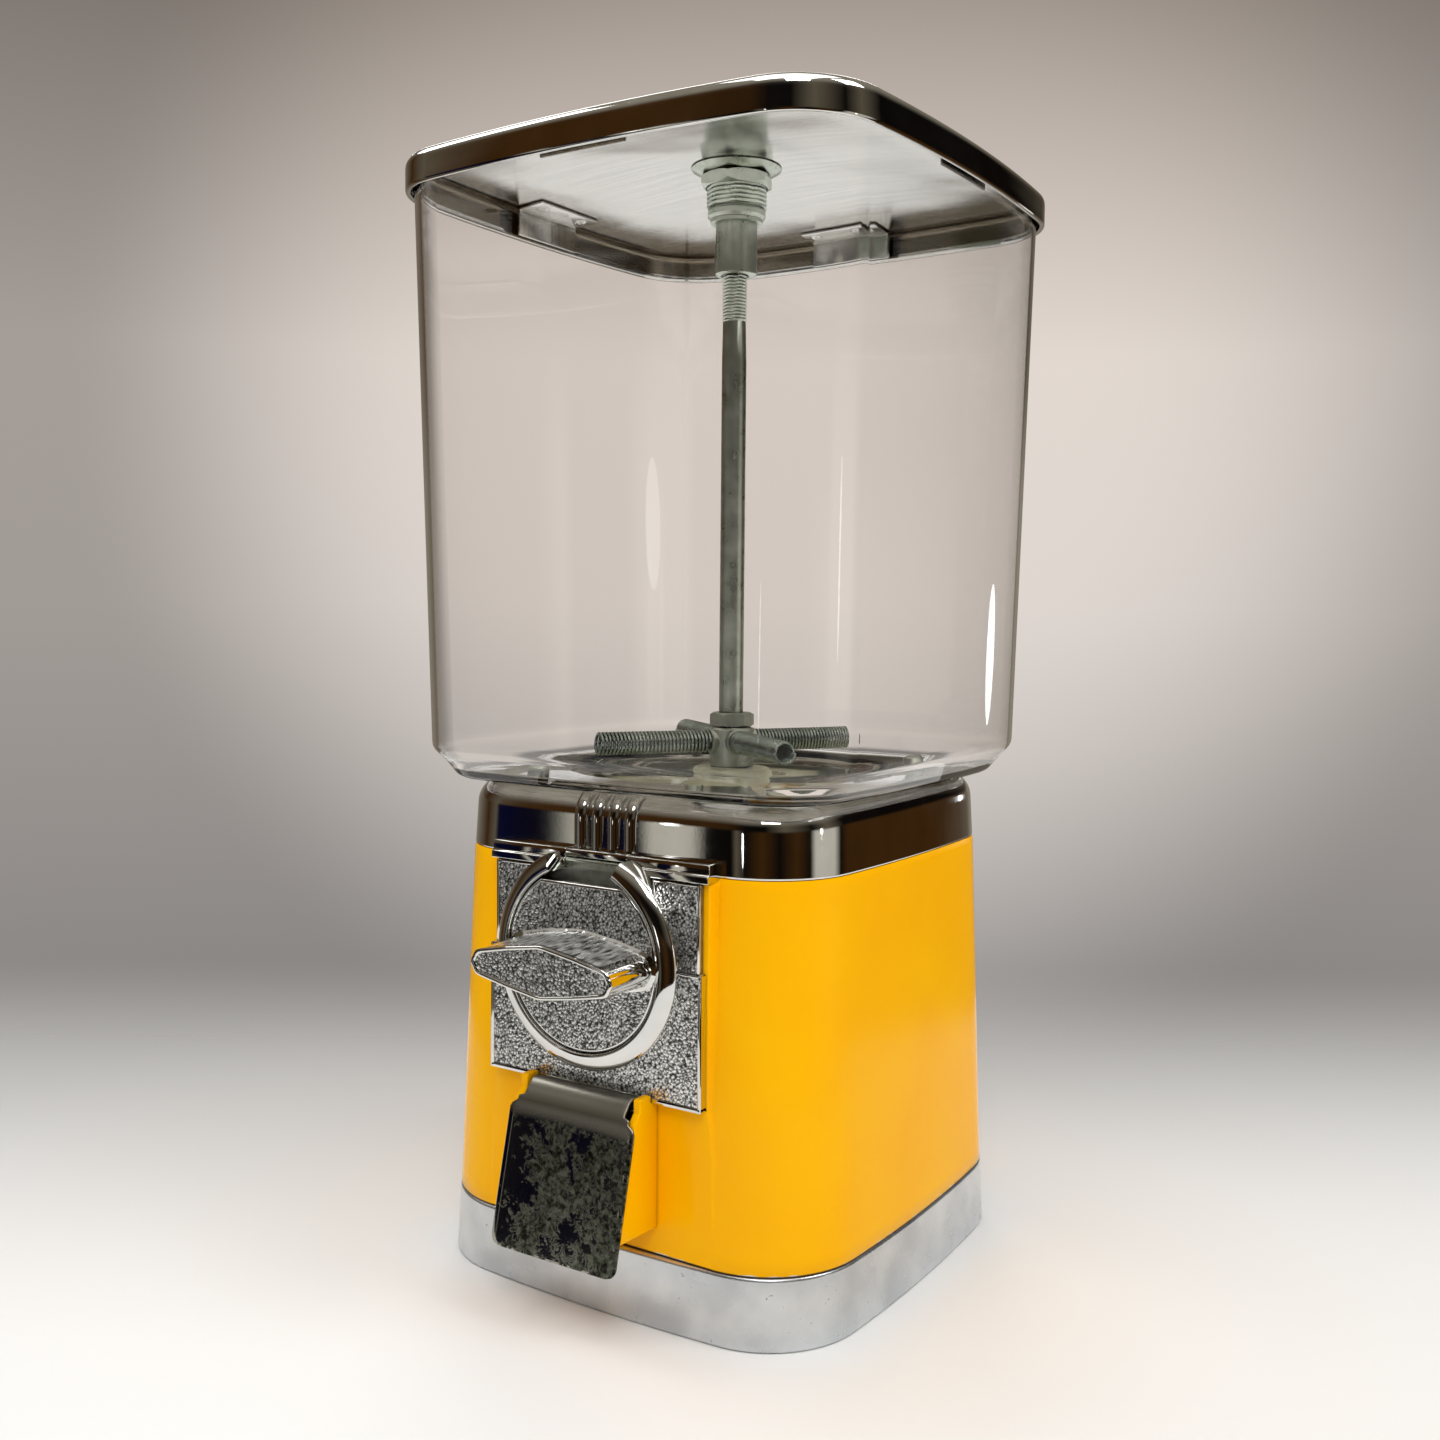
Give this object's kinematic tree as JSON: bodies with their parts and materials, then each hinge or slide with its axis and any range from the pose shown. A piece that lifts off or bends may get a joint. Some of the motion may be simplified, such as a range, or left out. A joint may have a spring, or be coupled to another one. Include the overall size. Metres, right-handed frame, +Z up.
{
  "type": "gumball machine",
  "caption": "Square gumball machine with a clear canister, sheet lid with a key lock, enamelled cabinet, coin dial with a turning handle, pocket wheel and a hinged chute door.",
  "frame": {"origin": "centre of the base's underside, on the axis of the centre rod", "axes": "+Z up along the centre rod, -Y out of the front with the dial and the chute door, +X to the right as seen from the front"},
  "size_m": [0.2014, 0.2173, 0.42],
  "materials": {
    "enamel": "gloss yellow enamel",
    "cast_base": "dull cast, satin",
    "chrome_castings": "polished",
    "lid_steel": "plated sheet, polished skirt",
    "dial_castings": "plated casting with stippled fields",
    "clear_canister": "clear moulded plastic",
    "zinc_hardware": "zinc plated",
    "spring_wire": "bright drawn wire",
    "mechanism_castings": "die cast",
    "wheel_plastic": "moulded, satin",
    "chute_sheet": "folded sheet"
  },
  "bodies": {
    "cabinet": {"base": "cast_base", "body_shell": "enamel", "collar": "chrome_castings", "canister": "clear_canister", "canister_screws": "zinc_hardware", "centre_rod": "zinc_hardware", "base_washers": "zinc_hardware", "base_nuts": "zinc_hardware", "jam_nut": "zinc_hardware", "wheel_housing": "wheel_plastic", "thrust_washer": "zinc_hardware", "outlet_guard": "chute_sheet", "inner_chute": "chute_sheet", "chute_screws": "zinc_hardware", "flap_pin": "zinc_hardware", "coin_plate": "dial_castings", "mech_housing": "mechanism_castings", "mech_screws": "zinc_hardware", "pawl_pin": "zinc_hardware", "pawl_spring": "spring_wire"},
    "lid": {"lid": "lid_steel", "lid_bracket_front": "lid_steel", "lid_bracket_right": "lid_steel", "lid_bracket_back": "lid_steel", "lid_bracket_left": "lid_steel", "lock_washer": "zinc_hardware", "lock_nut": "zinc_hardware", "lock_barrel": "zinc_hardware"},
    "lock": {"lock_plug": "zinc_hardware", "lock_tube": "zinc_hardware", "lock_ring": "zinc_hardware"},
    "handle": {"handle": "dial_castings", "coin_carrier": "mechanism_castings", "drive_shaft": "zinc_hardware", "ratchet_wheel": "mechanism_castings", "drive_gear": "mechanism_castings", "shaft_nut": "zinc_hardware"},
    "wheel": {"dispensing_wheel": "wheel_plastic", "agitator_hub": "mechanism_castings", "agitator_spring_1": "spring_wire", "agitator_spring_2": "spring_wire", "agitator_spring_3": "spring_wire", "agitator_spring_4": "spring_wire"},
    "flap": {"flap": "chrome_castings"},
    "pawl": {"ratchet_pawl": "mechanism_castings"}
  },
  "joints": [
    {"name": "lid_lift", "type": "slide", "parent": "cabinet", "child": "lid", "axis": [0, 0, 1], "range_m": [0, 0.1]},
    {"name": "lock_turn", "type": "hinge", "parent": "lid", "child": "lock", "pos_m": [0, 0, 0.41], "axis": [0, 0, 1], "continuous": true},
    {"name": "handle_turn", "type": "hinge", "parent": "cabinet", "child": "handle", "pos_m": [0, -0.0885, 0.1265], "axis": [0, 1, 0], "continuous": true},
    {"name": "wheel_spin", "type": "hinge", "parent": "cabinet", "child": "wheel", "pos_m": [0, 0, 0.165], "axis": [0, 0, 1], "continuous": true},
    {"name": "flap_swing", "type": "hinge", "parent": "cabinet", "child": "flap", "pos_m": [0, -0.0916, 0.079], "axis": [-1, 0, 0], "range_deg": [0, 70]},
    {"name": "pawl_swing", "type": "hinge", "parent": "cabinet", "child": "pawl", "pos_m": [-0.028, -0.0798, 0.1385], "axis": [0, -1, 0], "range_deg": [0, 15], "stiffness_Nm_per_rad": 0.01, "springref_deg": -11.46}
  ],
  "couplings": [
    {"joint": "wheel_spin", "follows": "handle_turn", "ratio": 0.33333}
  ]
}
